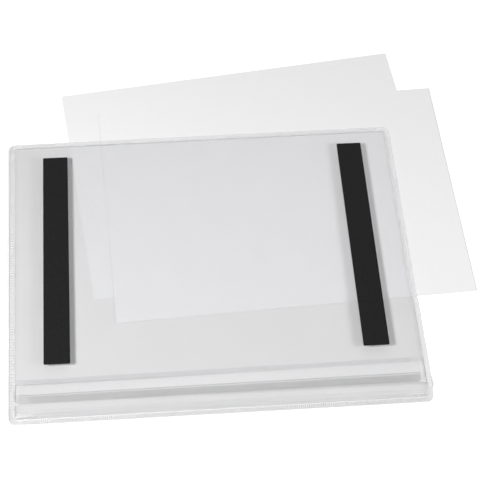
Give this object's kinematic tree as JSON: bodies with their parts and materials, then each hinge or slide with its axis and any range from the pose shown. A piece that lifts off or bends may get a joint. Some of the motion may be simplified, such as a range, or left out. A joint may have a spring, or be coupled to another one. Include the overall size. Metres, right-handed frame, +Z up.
{
  "type": "poster holder",
  "caption": "Clear vinyl poster pouch with a knurled welded rim, magnet strips on its back and a lifting flap over its loading slot, lying face down on loose white poster cards.",
  "frame": {"origin": "on the table, under the middle of the pouch, on the lower card's underside", "axes": "+X along the pouch's long side, +Y away from the loading slot, +Z up, out of the back panel and the magnet strips"},
  "size_m": [0.4597, 0.4207, 0.008],
  "materials": {
    "clear_vinyl": "clear smooth plasticised film",
    "welded_vinyl": "clear film, knurled by the weld",
    "magnet": "matt black with a fine grain",
    "tape": "matt adhesive film",
    "card": "smooth uncoated white card"
  },
  "bodies": {
    "holder": {"front_sheet": "clear_vinyl", "back_panel": "clear_vinyl", "pocket_strip": "clear_vinyl", "weld_top": "welded_vinyl", "weld_bottom": "welded_vinyl", "weld_left": "welded_vinyl", "weld_right": "welded_vinyl", "flap_weld": "welded_vinyl", "magnet_left": "magnet", "magnet_right": "magnet", "tape_left": "tape", "tape_right": "tape"},
    "flap": {"closing_flap": "clear_vinyl"},
    "upper_card": {"card_upper": "card"},
    "lower_card": {"card_lower": "card"}
  },
  "joints": [
    {"name": "flap_lift", "type": "hinge", "parent": "holder", "child": "flap", "pos_m": [-0.0017, -0.12035, 0.00675], "axis": [-1, 0, 0], "range_deg": [0, 160]},
    {"name": "upper_card_slide", "type": "slide", "parent": "holder", "child": "upper_card", "axis": [-0.0373, 0.9993, 0], "range_m": [0, 0.22]},
    {"name": "lower_card_slide", "type": "slide", "parent": "holder", "child": "lower_card", "axis": [-0.109, 0.994, 0], "range_m": [0, 0.195]}
  ]
}
